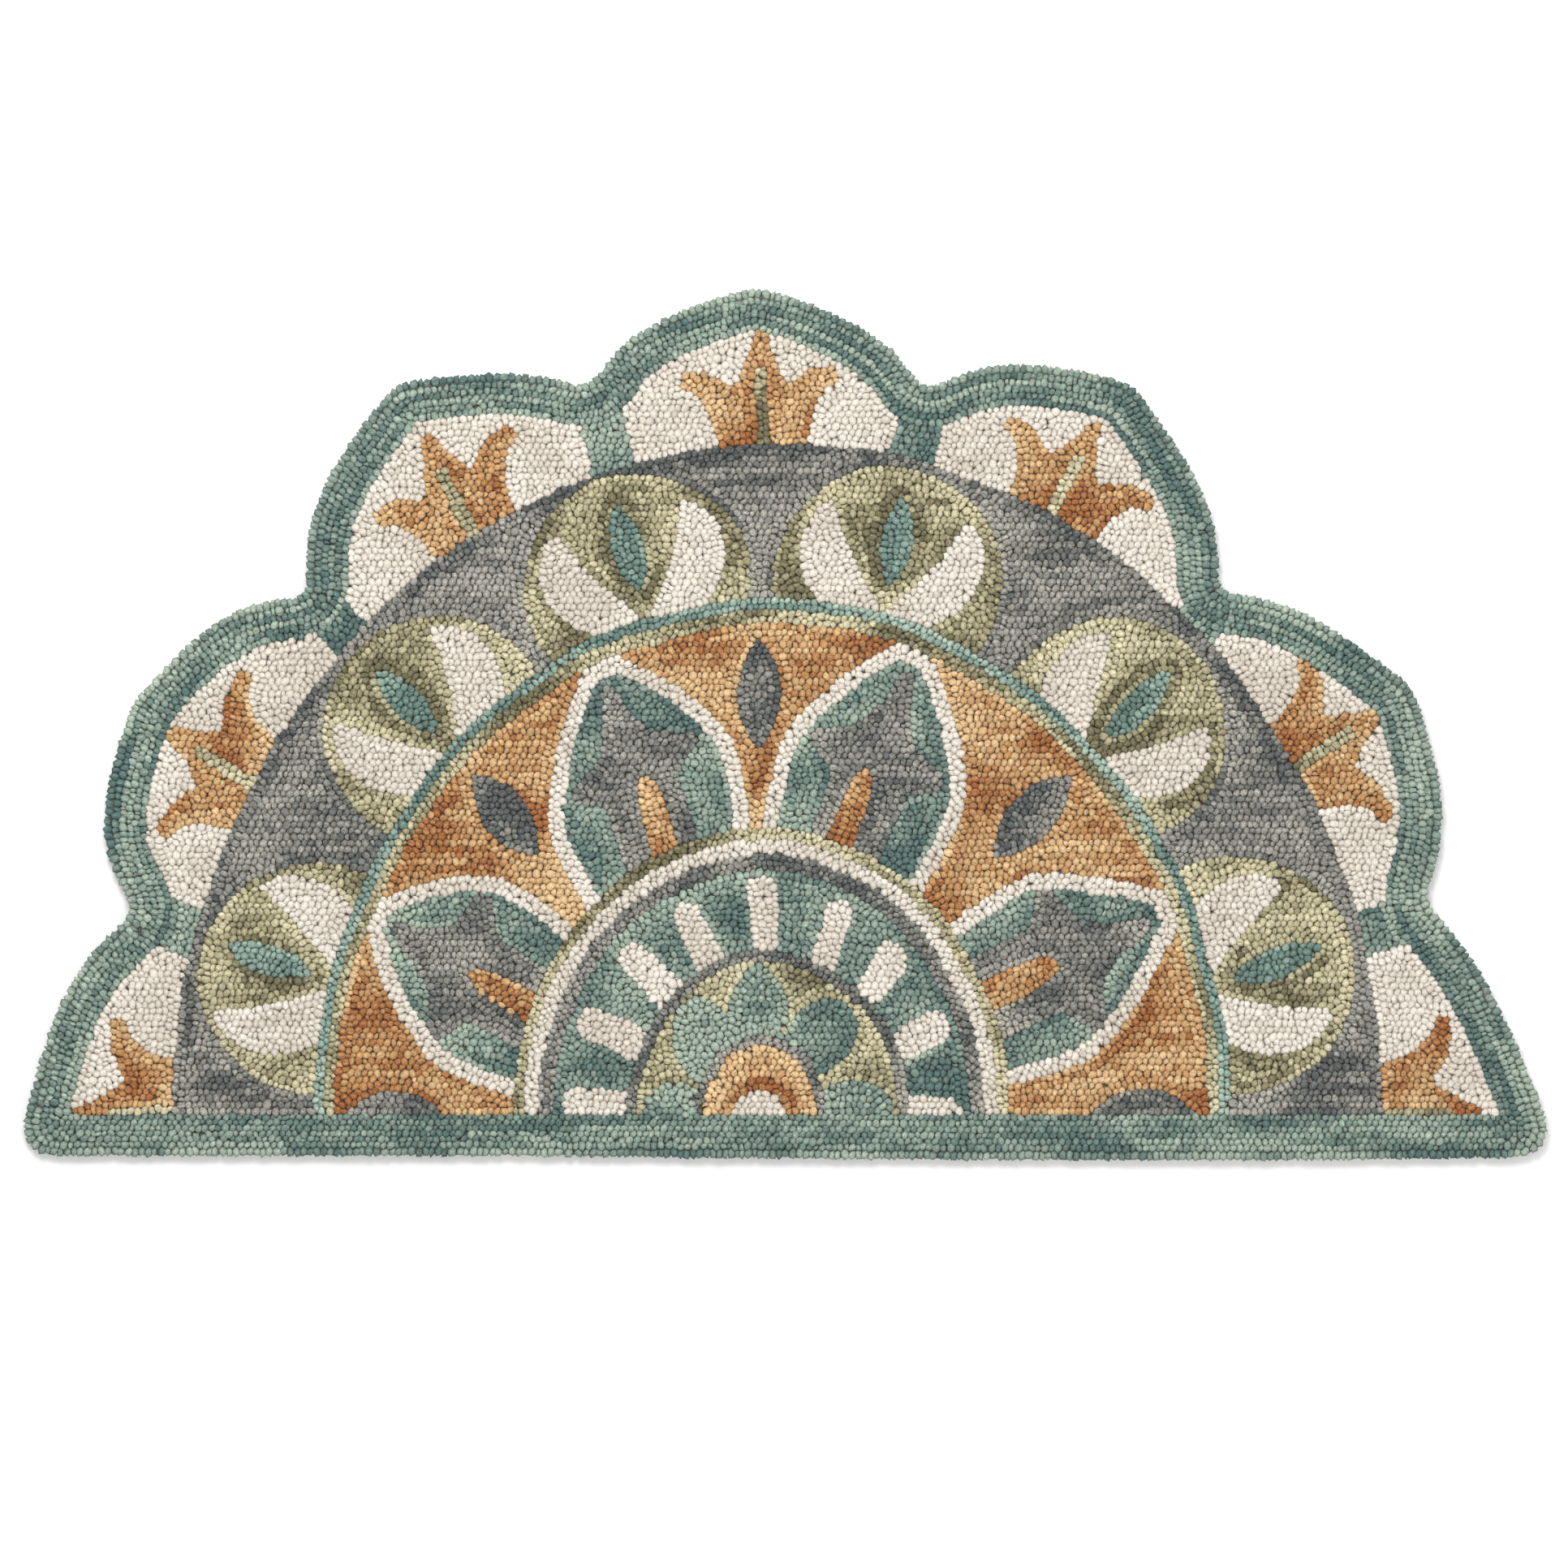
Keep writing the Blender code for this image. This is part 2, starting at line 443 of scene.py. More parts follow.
def sample(pattern, name, points):
    """The named field at each point, weighed between the four cells around it."""
    field = pattern[name]
    column = np.clip((points[:, 0] - pattern["xs"][0]) / CELL, 0, field.shape[1] - 1.001)
    row = np.clip((points[:, 1] - pattern["ys"][0]) / CELL, 0, field.shape[0] - 1.001)
    i, j = row.astype(int), column.astype(int)
    u, v = column - j, row - i
    low = field[i, j] * (1 - u) + field[i, j + 1] * u
    high = field[i + 1, j] * (1 - u) + field[i + 1, j + 1] * u
    return low * (1 - v) + high * v


def nearest_cell(pattern, name, points):
    """The named field in the cell that holds each point."""
    field = pattern[name]
    j = np.clip(np.rint((points[:, 0] - pattern["xs"][0]) / CELL), 0, field.shape[1] - 1)
    i = np.clip(np.rint((points[:, 1] - pattern["ys"][0]) / CELL), 0, field.shape[0] - 1)
    return field[i.astype(int), j.astype(int)]


def slope_of(pattern, name, points):
    """The named field's slope at each point, across and up."""
    return np.column_stack([sample(pattern, name + way, points) for way in ("_x", "_y")])


def add_row_fields(pattern):
    """How far each cell is from a change of yarn, and the slopes of that and of the edge."""
    yarn = pattern["yarn"]
    seam = np.zeros(yarn.shape, bool)
    across, along = yarn[:, 1:] != yarn[:, :-1], yarn[1:] != yarn[:-1]
    seam[:, 1:] |= across
    seam[:, :-1] |= across
    seam[1:] |= along
    seam[:-1] |= along
    pattern["seam"] = distance_from(seam, 2.5 * PITCH) + CELL / 2
    for name in ("seam", "edge"):
        slope_y, slope_x = np.gradient(pattern[name], CELL)
        steep = np.maximum(np.hypot(slope_x, slope_y), 0.5)
        pattern[name + "_x"], pattern[name + "_y"] = slope_x / steep, slope_y / steep


def first_loops(pattern, rng):
    """Loops in straight rows up the whole rug, each row begun a little aside."""
    xs, ys, base_y = pattern["xs"], pattern["ys"], pattern["base_y"]
    rows = []
    aside = 0.0
    lowest, highest = (ys[0] - base_y) / PITCH, (ys[-1] - base_y) / PITCH
    for step in range(math.floor(lowest), math.ceil(highest)):
        aside += rng.uniform(0.3, 0.7) * PITCH
        x = np.arange(xs[0], xs[-1], LOOP_STEP) + aside % LOOP_STEP
        rows.append(np.column_stack([x, np.full(len(x), base_y + (step + 0.5) * PITCH)]))
    points = np.concatenate(rows)
    points += rng.normal(0.0, 0.12 * PITCH, points.shape)
    return points[sample(pattern, "edge", points) > 0.15 * PITCH]


def tree_of(points):
    """A search tree of the points."""
    tree = KDTree(len(points))
    for i, (x, y) in enumerate(points):
        tree.insert((x, y, 0.0), i)
    tree.balance()
    return tree


def loops_near(points, count):
    """The loops nearest to each loop, as an array of their numbers."""
    tree = tree_of(points)
    found = (tree.find_n((x, y, 0.0), count + 1) for x, y in points)
    return np.array([[number for _, number, _ in near[1:]] for near in found])


# How far from a seam its first and second rows stand, and how far each row reaches, in
# rows, with the share of the way that a loop is drawn there in a step
FIRST_ROW, FIRST_REACH, FIRST_DRAW = 0.46, 0.9, 0.55
SECOND_ROW, SECOND_REACH, SECOND_DRAW = 1.42, 1.9, 0.22
BORDER_DRAW, FIELD_DRAW = 0.35, 0.3


def row_level(distance, pitch):
    """The distance of the nearest row of that pitch, counted from an edge."""
    return (np.maximum(np.floor(distance / pitch), 0.0) + 0.5) * pitch


def row_pull(points, pattern):
    """The step that takes each loop towards its row, and the row's own direction."""
    edge, seam = sample(pattern, "edge", points), sample(pattern, "seam", points)
    edge_slope, seam_slope = (slope_of(pattern, name, points) for name in ("edge", "seam"))
    up = points[:, 1] - pattern["base_y"]
    strip_pitch = sample(pattern, "strip_depth", points) / STRIP_ROWS
    strip_row = (np.maximum(np.floor(up / strip_pitch), -STRIP_ROWS) + 0.5) * strip_pitch
    flat_row = np.where(up < 0, strip_row, row_level(up, PITCH))
    upright = np.array([0.0, 1.0])
    pull = (FIELD_DRAW * (flat_row - up))[:, None] * upright
    slope = np.tile(upright, (len(points), 1))
    second = seam < SECOND_REACH * PITCH
    to_row = SECOND_DRAW * (SECOND_ROW * PITCH - seam)
    pull[second] = to_row[second, None] * seam_slope[second]
    slope[second] = seam_slope[second]
    border = nearest_cell(pattern, "border", points)
    border &= ~((up < 0) & (edge_slope[:, 1] > 0.9))
    to_row = BORDER_DRAW * (row_level(edge, BORDER_PITCH) - edge)
    pull[border] = to_row[border, None] * edge_slope[border]
    slope[border] = edge_slope[border]
    strip = (up < 0) & ~border
    pull[strip] = (BORDER_DRAW * (flat_row - up))[strip, None] * upright
    slope[strip] = upright
    size = np.where(nearest_cell(pattern, "fine", points), FINE_SIZE, 1.0)
    first = (seam < FIRST_REACH * PITCH * size) & ~border & ~strip
    to_row = FIRST_DRAW * (FIRST_ROW * PITCH * size - seam)
    pull[first] = to_row[first, None] * seam_slope[first]
    slope[first] = seam_slope[first]
    return pull, np.column_stack([slope[:, 1], -slope[:, 0]])


def loop_sizes(points, pattern, own):
    """Each loop's size, from its own share and the thin lines' smaller loops."""
    return PITCH * own * np.where(nearest_cell(pattern, "fine", points), FINE_SIZE, 1.0)


def thinned(points, sizes):
    """True for the loops that stay where two stand too close."""
    near = loops_near(points, 1)[:, 0]
    close = np.hypot(*(points - points[near]).T) < 0.31 * (sizes + sizes[near])
    return ~(close & (near < np.arange(len(points))))


def places_left(points, pattern):
    """Places inside the edge that stand open, a loop's width from all the others."""
    step = 3
    columns, rows = np.meshgrid(pattern["xs"][::step], pattern["ys"][::step])
    inside = pattern["edge"][::step, ::step] > 0.3 * PITCH
    fine = pattern["fine"][::step, ::step][inside]
    spots = np.column_stack([columns[inside], rows[inside]])
    tree = tree_of(points)
    open_by = np.array([tree.find((x, y, 0.0))[2] for x, y in spots])
    need = 0.82 * PITCH * np.where(fine, FINE_SIZE, 1.0)
    left = []
    for number in np.argsort(-open_by, kind="stable"):
        if open_by[number] < need[number]:
            continue
        x, y = spots[number]
        if all(math.hypot(x - a, y - b) > need[number] for a, b in left):
            left.append((x, y))
    return np.array(left).reshape(-1, 2)


SETTLING_STEPS = 90
REFILLING_STEPS = (30, 60)  # when crowded loops go and open places fill
PRESSING_WIDTH = 0.56       # how near two loops press, as a share of their sizes' sum
PRESSING_SHARE = 0.28       # how much of that each loop yields in a step


def settle_loops(points, pattern, rng):
    """Moves the loops apart and into rows, as packed loops lie, and gives their sizes."""
    own = np.clip(rng.normal(1.0, 0.07, len(points)), 0.82, 1.2)
    for step in range(SETTLING_STEPS):
        if step in REFILLING_STEPS:
            stay = thinned(points, loop_sizes(points, pattern, own))
            added = places_left(points[stay], pattern)
            points = np.concatenate([points[stay], added])
            own = np.concatenate([own[stay], np.full(len(added), 0.95)])
        if step % 6 == 0:
            near = loops_near(points, 8)
        sizes = loop_sizes(points, pattern, own)
        away = points[:, None] - points[near]
        gap = np.maximum(np.linalg.norm(away, axis=2), 1e-6)
        press = np.clip(PRESSING_WIDTH * (sizes[:, None] + sizes[near]) - gap, 0.0, None)
        push = PRESSING_SHARE * (away / gap[..., None] * press[..., None]).sum(axis=1)
        points = points + push + row_pull(points, pattern)[0]
    stay = (sample(pattern, "edge", points) > 0.0) & thinned(points, sizes)
    return points[stay] + rng.normal(0.0, 0.05 * PITCH, (stay.sum(), 2)), sizes[stay]


# What sets one loop apart from the next

LOOP_SIDES = 7
# How much wider a loop's lowest ring is than the room between its neighbours
SKIRT, CREAM_SKIRT = 1.08, 1.18
CREAM_DEPTH = 0.85         # a cream loop's depth, beside the others'
# How far loops lean at random, and how far the outer ones lean out and stand lower
LEAN, OUTER_LEAN, OUTER_DROP = 0.00045, 0.0009, 0.0011
# How strongly the short streaks and the single loops' dye show beside the long streaks
SHORT_STREAKS, SINGLE_LOOPS = 0.8, 0.6


def loop_reaches(points, near, sizes, phase, row_angle, edge, outwards, rng):
    """How far each loop spreads on each side, to the loops around it, more along its slant."""
    angle = phase[:, None] + np.arange(LOOP_SIDES) * math.tau / LOOP_SIDES
    ways = np.stack([np.cos(angle), np.sin(angle)], axis=2)
    to = points[near] - points[:, None]
    squared = (to**2).sum(axis=2)
    share = 0.5 + (sizes[:, None] ** 2 - sizes[near] ** 2) / (2 * squared)
    facing = np.einsum("nka,nsa->nks", to, ways)
    closeness = np.maximum(facing / (squared * share)[..., None], 0.0)
    blend = 12
    total = (closeness**blend).sum(axis=1) + (1 / LOOP_REACH) ** blend
    slant = row_angle + rng.normal(math.radians(70), math.radians(28), len(points))
    uneven = rng.normal(1.0, 0.05, angle.shape)
    reach = total ** (-1 / blend) * uneven
    reach = reach * (1.0 + 0.14 * np.cos(2 * (angle - slant[:, None])))
    facing_out = np.einsum("nsa,na->ns", ways, outwards)
    room = np.maximum(edge + PILE_INSET + EDGE_OVERHANG, 0.3 * PITCH)[:, None]
    return np.minimum(reach, room / np.maximum(facing_out, 0.2))


def ranked(values):
    """The values spread evenly from 0 to 1, in their own order."""
    ranks = np.empty(len(values))
    ranks[np.argsort(values, kind="stable")] = np.linspace(0.0, 1.0, len(values))
    return ranks


def along_rows(values, points, near, yarn, row_way, breadth, passes):
    """The values smoothed along each row and, by its breadth in rows, to the rows beside."""
    to = points[near] - points[:, None]
    gap = np.linalg.norm(to, axis=2)
    aside = abs(to[..., 0] * row_way[:, None, 1] - to[..., 1] * row_way[:, None, 0])
    weight = np.exp(-((aside / (breadth * PITCH)) ** 2) - (gap / (1.4 * PITCH)) ** 2)
    weight = weight * (yarn[near] == yarn[:, None]) + 1e-9
    weight /= weight.sum(axis=1, keepdims=True)
    for _ in range(passes):
        values = 0.35 * values + 0.65 * (weight * values[near]).sum(axis=1)
    return (values - values.mean()) / values.std()


def dye_shades(points, near, yarn, row_way, rng):
    """How each loop took the dye, from 0 to 1: streaks along the rows, with odd loops."""
    count = len(points)
    long_streaks = along_rows(rng.normal(size=count), points, near, yarn, row_way, 0.50, 24)
    short_streaks = along_rows(rng.normal(size=count), points, near, yarn, row_way, 0.35, 8)
    single = rng.normal(size=count)
    return ranked(long_streaks + SHORT_STREAKS * short_streaks + SINGLE_LOOPS * single)


def field_loops(pattern, rng):
    """All the loops that stand up from the cloth, as a table of arrays."""
    points, sizes = settle_loops(first_loops(pattern, rng), pattern, rng)
    count = len(points)
    near = loops_near(points, 10)
    yarn = nearest_cell(pattern, "yarn", points)
    yarn = np.where(yarn == OUTSIDE, TEAL, yarn)
    row_way = row_pull(points, pattern)[1]
    shade = nearest_cell(pattern, "shade", points)
    edge = sample(pattern, "edge", points)
    outwards = -slope_of(pattern, "edge", points)
    outer = np.clip(1.6 - edge / PITCH, 0.0, 1.0)
    lean = np.zeros((count, 3))
    lean[:, :2] = rng.normal(0.0, LEAN, (count, 2)) + OUTER_LEAN * outer[:, None] * outwards
    depth = LOOP_DEPTH * np.where(yarn == CREAM, CREAM_DEPTH, 1.0)
    level = PILE_TOP - depth + rng.normal(0.0, 0.00028, count) - OUTER_DROP * outer
    phase = rng.uniform(0.0, math.tau, count)
    row_angle = np.arctan2(row_way[:, 1], row_way[:, 0])
    return {
        "root": np.column_stack([points, level]),
        "across": np.tile((1.0, 0.0, 0.0), (count, 1)),
        "along": np.tile((0.0, 1.0, 0.0), (count, 1)),
        "out": np.tile((0.0, 0.0, 1.0), (count, 1)),
        "reach": loop_reaches(points, near, sizes, phase, row_angle, edge, outwards, rng),
        "phase": phase,
        "height": depth,
        "lean": lean,
        "row": row_angle,
        "skirt": np.where(yarn == CREAM, CREAM_SKIRT, SKIRT),
        "yarn": yarn,
        "dye": np.clip(dye_shades(points, near, yarn, row_way, rng) + shade, 0.0, 1.0),
        "tone": rng.normal(0.0, 1.0, count),
    }


def even_walk(outline, pitch):
    """Points at even steps along the closed outline, and the way out at each."""
    ends = np.roll(outline, -1, axis=0) - outline
    lengths = np.hypot(*ends.T)
    starts = np.concatenate([[0.0], np.cumsum(lengths)[:-1]])
    steps = np.arange(0.0, lengths.sum() - pitch / 2, pitch)
    closed = np.vstack([outline, outline[:1]])
    marks = np.append(starts, lengths.sum())
    points = np.column_stack([np.interp(steps, marks, closed[:, a]) for a in (0, 1)])
    return points, *ways_on_and_out(points)


def signed_area(outline):
    """The closed outline's area, or less than nothing if it runs clockwise."""
    x, y = outline.T
    return (x * np.roll(y, -1) - np.roll(x, -1) * y).sum() / 2


def ways_on_and_out(outline):
    """The way on along the closed outline at each of its points, and the way out of it."""
    ahead = np.roll(outline, -1, axis=0) - np.roll(outline, 1, axis=0)
    ahead /= np.hypot(*ahead.T)[:, None]
    side = math.copysign(1.0, signed_area(outline))
    return ahead, side * np.column_stack([ahead[:, 1], -ahead[:, 0]])


# A side loop's height, the level and distance in from the edge of its root, how far it
# spreads, and its tilt up in degrees
SIDE_HEIGHT, SIDE_LEVEL, SIDE_INSET, SIDE_REACH, SIDE_TILT = 0.0036, 0.0038, 0.0045, 0.0025, 14.0


def side_loops(outline, rng):
    """The border's last row, whose loops lean out over the edge of the cloth."""
    points, ahead, outwards = even_walk(outline, 0.97 * PITCH)
    count = len(points)
    tilt = np.radians(rng.normal(SIDE_TILT, 5.0, count))
    out = np.column_stack([outwards * np.cos(tilt)[:, None], np.sin(tilt)])
    along = np.column_stack([-outwards * np.sin(tilt)[:, None], np.cos(tilt)])
    height = SIDE_HEIGHT + rng.normal(0.0, 0.00025, count)
    level = SIDE_LEVEL + rng.normal(0.0, 0.00020, count)
    root = np.column_stack([points - outwards * SIDE_INSET, level])
    dye = np.convolve(np.tile(rng.normal(size=count), 3), np.hanning(15), "same")
    return {
        "root": root,
        "across": np.column_stack([ahead, np.zeros(count)]),
        "along": along,
        "out": out,
        "reach": SIDE_REACH * rng.normal(1.0, 0.05, (count, 1)) * np.ones(LOOP_SIDES),
        "phase": rng.uniform(0.0, math.tau, count),
        "height": height,
        "lean": np.zeros((count, 3)),
        "row": np.zeros(count),
        "skirt": np.ones(count),
        "yarn": np.full(count, TEAL),
        "dye": ranked(dye[count : 2 * count]),
        "tone": rng.normal(0.0, 1.0, count),
    }


# Meshes

LOOP_RINGS = (
    # share of the loop's reach, share of its height below the top, radius on the layout
    (1.16, 1.00, 0.46),
    (0.91, 0.46, 0.36),
    (0.55, 0.12, 0.22),
)
LUMP_HEIGHT = 0.00016      # how far a loop's upper points stray up and down
LAYOUT_CELLS = 64          # places for loops along each side of a piece's layout


def band_faces(rings, count):
    """The faces between rings of so many points each, one above the other."""
    faces = []
    for low in range(0, (rings - 1) * count, count):
        for i in range(low, low + count):
            j = low + (i + 1 - low) % count
            faces.append((i, j, j + count, i + count))
    return faces


def loop_template():
    """A loop's faces, as corner numbers and face sizes, and each corner's layout place."""
    ring = range(LOOP_SIDES)
    apex = LOOP_SIDES * len(LOOP_RINGS)
    angle = [math.tau * i / LOOP_SIDES for i in ring]
    place = [
        (0.5 + radius * math.cos(a), 0.5 + radius * math.sin(a))
        for _, _, radius in LOOP_RINGS for a in angle
    ] + [(0.5, 0.5)]
    faces = band_faces(len(LOOP_RINGS), LOOP_SIDES)
    last = apex - LOOP_SIDES
    faces += [(last + i, last + (i + 1) % LOOP_SIDES, apex) for i in ring]
    layout = [place[corner] for face in faces for corner in face]
    faces.append(tuple(reversed(ring)))
    for a in reversed(angle):
        layout.append((0.05 + 0.035 * math.cos(a), 0.05 - 0.035 * math.sin(a)))
    corners = np.array([corner for face in faces for corner in face])
    sizes = np.array([len(face) for face in faces])
    return corners, sizes, np.array(layout)


def loop_points(loops, rng):
    """Every loop's points, ring by ring and then its top, and each one's share of height."""
    angle = loops["phase"][:, None] + np.arange(LOOP_SIDES) * math.tau / LOOP_SIDES
    side_way = (
        np.cos(angle)[..., None] * loops["across"][:, None]
        + np.sin(angle)[..., None] * loops["along"][:, None]
    )
    root, out = loops["root"][:, None], loops["out"][:, None]
    points, depths = [], []
    for share, depth, _ in LOOP_RINGS:
        up = 1 - depth
        level = (loops["height"] * up)[:, None] * loops["out"] + loops["lean"] * up
        spread = loops["reach"] * share * (loops["skirt"][:, None] if depth == 1.0 else 1.0)
        lumps = rng.normal(0.0, LUMP_HEIGHT * up, spread.shape)[..., None] * out
        points.append(root + level[:, None] + spread[..., None] * side_way + lumps)
        depths.append(np.full(spread.shape, depth))
    top = loops["root"] + loops["height"][:, None] * loops["out"] + loops["lean"]
    points.append(top[:, None])
    depths.append(np.zeros((len(top), 1)))
    return np.concatenate(points, axis=1), np.concatenate(depths, axis=1)


def new_object(name, data):
    """An object of the mesh, light or camera, in the scene."""
    made = bpy.data.objects.new(name, data)
    bpy.context.scene.collection.objects.link(made)
    return made


def add_point_values(mesh, name, values):
    """Stores one number, or one vector, for each of the mesh's points."""
    kind, key = ("FLOAT", "value") if values.ndim == 1 else ("FLOAT_VECTOR", "vector")
    attribute = mesh.attributes.new(name, kind, "POINT")
    attribute.data.foreach_set(key, values.astype(np.float32).ravel())


def loop_piece(name, loops, material, rng):
    """One object of many loops of one yarn, with its layout for baking."""
    count = len(loops["yarn"])
    points, depths = loop_points(loops, rng)
    per_loop = points.shape[1]
    corners, sizes, layout = loop_template()
    mesh = bpy.data.meshes.new(name)
    mesh.vertices.add(count * per_loop)
    mesh.vertices.foreach_set("co", points.astype(np.float32).ravel())
    all_corners = (np.arange(count)[:, None] * per_loop + corners).ravel()
    mesh.loops.add(len(all_corners))
    mesh.loops.foreach_set("vertex_index", all_corners.astype(np.int32))
    all_sizes = np.tile(sizes, count)
    mesh.polygons.add(len(all_sizes))
    mesh.polygons.foreach_set("loop_start", (np.cumsum(all_sizes) - all_sizes).astype(np.int32))
    mesh.update(calc_edges=True)
    mesh.validate()
    mesh.shade_smooth()
    cell = np.stack([np.arange(count) % LAYOUT_CELLS, np.arange(count) // LAYOUT_CELLS], axis=1)
    places = (cell[:, None] + layout[None]) / LAYOUT_CELLS
    uv = mesh.uv_layers.new(name="OFBake")
    uv.uv.foreach_set("vector", places.astype(np.float32).ravel())
    away = points - loops["root"][:, None]
    u, v, w = ((away * loops[way][:, None]).sum(axis=2) for way in ("across", "along", "out"))
    cos, sin = np.cos(loops["row"])[:, None], np.sin(loops["row"])[:, None]
    strand = np.stack([u * cos + v * sin, v * cos - u * sin, w], axis=2)
    add_point_values(mesh, "strand", strand.reshape(-1, 3))
    add_point_values(mesh, "depth", depths.ravel())
    add_point_values(mesh, "dye", np.repeat(loops["dye"], per_loop))
    add_point_values(mesh, "tone", np.repeat(loops["tone"], per_loop))
    mesh.materials.append(material)
    return new_object(name, mesh)


def joined(*tables):
    """The tables of loops as one."""
    return {key: np.concatenate([table[key] for table in tables]) for key in tables[0]}


def picked(loops, chosen):
    """The chosen loops, in order from the straight edge up."""
    numbers = np.flatnonzero(chosen)
    root = loops["root"][numbers]
    order = np.lexsort((root[:, 0], np.floor(root[:, 1] / (8 * PITCH))))
    return {key: values[numbers[order]] for key, values in loops.items()}


CLOTH_PROFILE = (
    # how far in from the rug's edge, height above the floor
    (0.0026, 0.0000),
    (0.0020, 0.0005),
    (0.0020, 0.0017),
    (0.0028, 0.0022),
    (0.0040, 0.0070),
)


def ground_cloth(outline, materials):
    """The cloth that the loops are hooked through: plain beneath, a bed of yarn on top,
    painted dark for the shade deep between the loops.
    """
    count = len(outline)
    if signed_area(outline) < 0:
        outline = outline[::-1]
    outwards = ways_on_and_out(outline)[1]
    points = []
    for inset, level in CLOTH_PROFILE:
        points += [(x, y, level) for x, y in outline - outwards * inset]
    faces = [tuple(reversed(range(count)))] + band_faces(len(CLOTH_PROFILE), count)
    last = (len(CLOTH_PROFILE) - 1) * count
    faces.append(tuple(range(last, last + count)))
    mesh = bpy.data.meshes.new("ground_cloth")
    mesh.from_pydata(points, [], faces)
    for material in materials:
        mesh.materials.append(material)
    # The upper side and the top take the yarn bed, painted dark for the shade between the loops
    painted_shade_from = 1 + 3 * count
    mesh.polygons.foreach_set("material_index", [int(i >= painted_shade_from) for i in range(len(faces))])
    mesh.shade_smooth()
    mesh.set_sharp_from_angle(angle=math.radians(40))
    return new_object("ground_cloth", mesh)


# Materials

def linear(red, green, blue):
    """A colour given as it looks on a screen, 0 to 255, as light."""
    def channel(value):
        value /= 255
        return value / 12.92 if value <= 0.04045 else ((value + 0.055) / 1.055) ** 2.4
    return (channel(red), channel(green), channel(blue), 1.0)


def new_material(name):
    """An empty material with a Principled shader, its node tree and the shader."""
    material = bpy.data.materials.new(name)
    material.use_nodes = True
    return material, material.node_tree, material.node_tree.nodes["Principled BSDF"]


def feed(tree, socket, value):
    """Links the socket to another one, or sets it to a value."""
    if isinstance(value, bpy.types.NodeSocket):
        tree.links.new(value, socket)
    else:
        socket.default_value = value


def value_node(tree, operation, first, second=0.0):
    """A Math node of two values or sockets."""
    node = tree.nodes.new("ShaderNodeMath")
    node.operation = operation
    feed(tree, node.inputs[0], first)
    feed(tree, node.inputs[1], second)
    return node.outputs[0]


def scaled(tree, value, amount):
    """The value, so many times over."""
    return value_node(tree, "MULTIPLY", value, amount)


def swing(tree, value, amount):
    """The value's distance from a half, so many times over."""
    return scaled(tree, value_node(tree, "SUBTRACT", value, 0.5), amount)


def sum_of(tree, *terms):
    """The sum of the terms, in order."""
    result = terms[0]
    for term in terms[1:]:
        result = value_node(tree, "ADD", result, term)
    return result


def ridged(tree, turns):
    """0 in the grooves, at each half turn, and 1 on the ridges between them."""
    return value_node(tree, "ABSOLUTE", value_node(tree, "SINE", turns))


def vector_node(tree, operation, first, second, third=None):
    """A Vector Math node of a socket, a vector, and another socket where it takes one."""
    node = tree.nodes.new("ShaderNodeVectorMath")
    node.operation = operation
    tree.links.new(first, node.inputs[0])
    node.inputs[1].default_value = second
    if third is not None:
        tree.links.new(third, node.inputs[2])
    return node.outputs[0]


def stored(tree, name, output="Fac"):
    """What is stored with the mesh's points under the name."""
    node = tree.nodes.new("ShaderNodeAttribute")
    node.attribute_name = name
    return node.outputs[output]


def position_of(tree):
    """The place of the shaded point."""
    return tree.nodes.new("ShaderNodeNewGeometry").outputs["Position"]


def noise_node(tree, vector, scale, detail):
    """Noise from 0 to 1 over a vector."""
    node = tree.nodes.new("ShaderNodeTexNoise")
    node.inputs["Scale"].default_value = scale
    node.inputs["Detail"].default_value = detail
    tree.links.new(vector, node.inputs["Vector"])
    return node.outputs["Fac"]


def mix_colours(tree, kind, share, first, second):
    """A Mix node for colours; share, first and second are values or sockets."""
    node = tree.nodes.new("ShaderNodeMix")
    node.data_type = "RGBA"
    node.blend_type = kind
    for number, value in ((0, share), (6, first), (7, second)):
        feed(tree, node.inputs[number], value)
    return node.outputs[2]


def shade_ramp(tree, value, stops):
    """A colour ramp; stops are places from 0 to 1 with their colours."""
    ramp = tree.nodes.new("ShaderNodeValToRGB")
    elements = ramp.color_ramp.elements
    while len(elements) < len(stops):
        elements.new(0.5)
    for element, (place, colour) in zip(elements, stops):
        element.position = place
        element.color = linear(*colour)
    tree.links.new(value, ramp.inputs[0])
    return ramp.outputs[0]


def set_finish(tree, shader, colour, roughness):
    """Gives the shader its colour and its roughness."""
    feed(tree, shader.inputs["Base Color"], colour)
    shader.inputs["Roughness"].default_value = roughness


def add_bump(tree, shader, height, strength, distance):
    """Bumps the shader's surface by the height."""
    bump = tree.nodes.new("ShaderNodeBump")
    bump.inputs["Strength"].default_value = strength
    bump.inputs["Distance"].default_value = distance
    tree.links.new(height, bump.inputs["Height"])
    tree.links.new(bump.outputs[0], shader.inputs["Normal"])


PLY_WIDTH = 0.0013
THREAD_SPACING = 0.0011
# Scales of the yarn's fine and coarse fibres, and how strongly each, the plies and the
# loops' own tones show in its light and dark; on the plies this is painted highlight on
# their ridges and painted shade in their grooves
FIBRE_SCALE, MOTTLE_SCALE = 1150.0, 620.0
FIBRE_LIGHT, MOTTLE_LIGHT, PLY_PAINTED_SHADING, TONE_LIGHT = 1.45, 1.1, 0.07, 0.06
# Painted shade: how much darker the yarn's colour is made deep between the loops
USUAL_PAINTED_GAP_SHADE = 0.24     # how dark the yarn is between loops
# Where a yarn differs from the others: how strongly its fibres show, and how dark its
# painted shade between loops is
HEATHER = {CREAM: 0.6, GRAY: 1.5}
PAINTED_GAP_SHADE = {CREAM: 0.32, OCHRE: 0.20}

